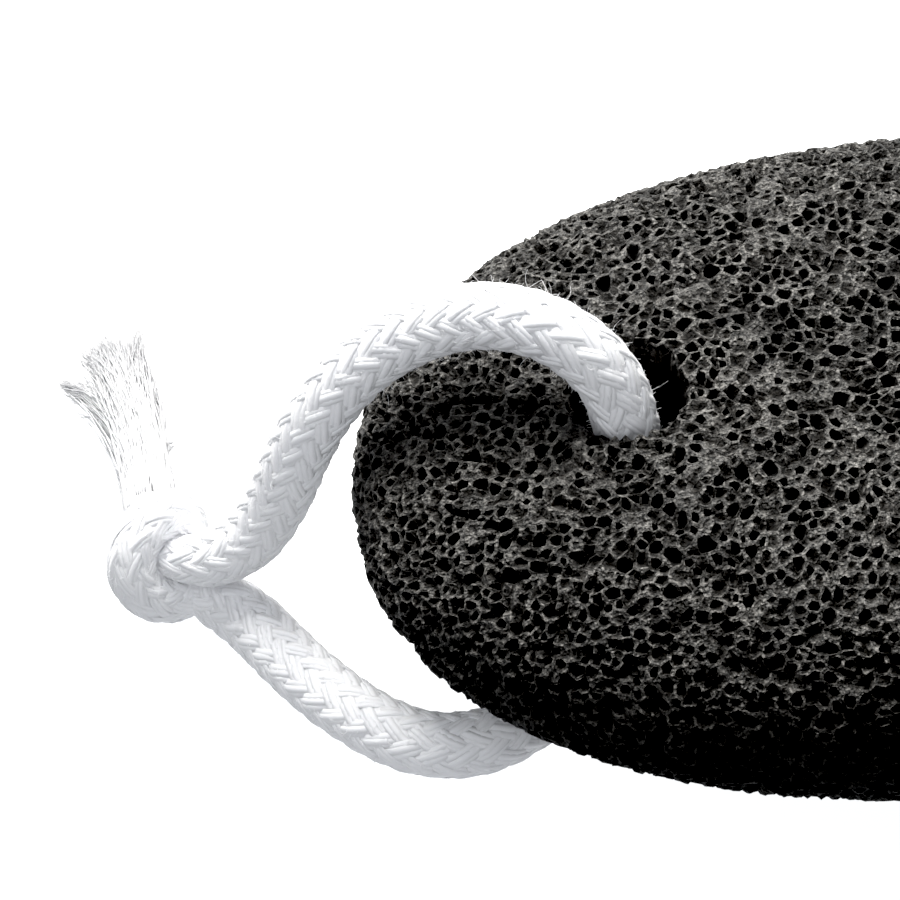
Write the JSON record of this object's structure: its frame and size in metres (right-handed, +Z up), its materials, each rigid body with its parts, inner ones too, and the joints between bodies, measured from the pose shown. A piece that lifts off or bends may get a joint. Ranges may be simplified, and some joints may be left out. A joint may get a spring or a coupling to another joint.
{
  "type": "pumice foot stone with a cord loop",
  "caption": "Black cellular pumice foot stone, pebble shaped, with a hole near one end and a knotted loop of white braided cord for hanging it up.",
  "frame": {"origin": "on the ground under the middle of the stone's box, without the cord", "axes": "+X along the stone, away from the end with the hole; +Y across it; +Z up through its thickness"},
  "size_m": [0.1236, 0.0675, 0.0364],
  "materials": {
    "black_foam": "dry, glassy open-celled foam, dark grey on its ridges and black in its pores",
    "white_cotton": "soft braided cotton, slightly fuzzy"
  },
  "bodies": {
    "root": {"stone": "black_foam", "cord": "white_cotton", "knot": "white_cotton", "frayed_end": "white_cotton"}
  },
  "joints": []
}
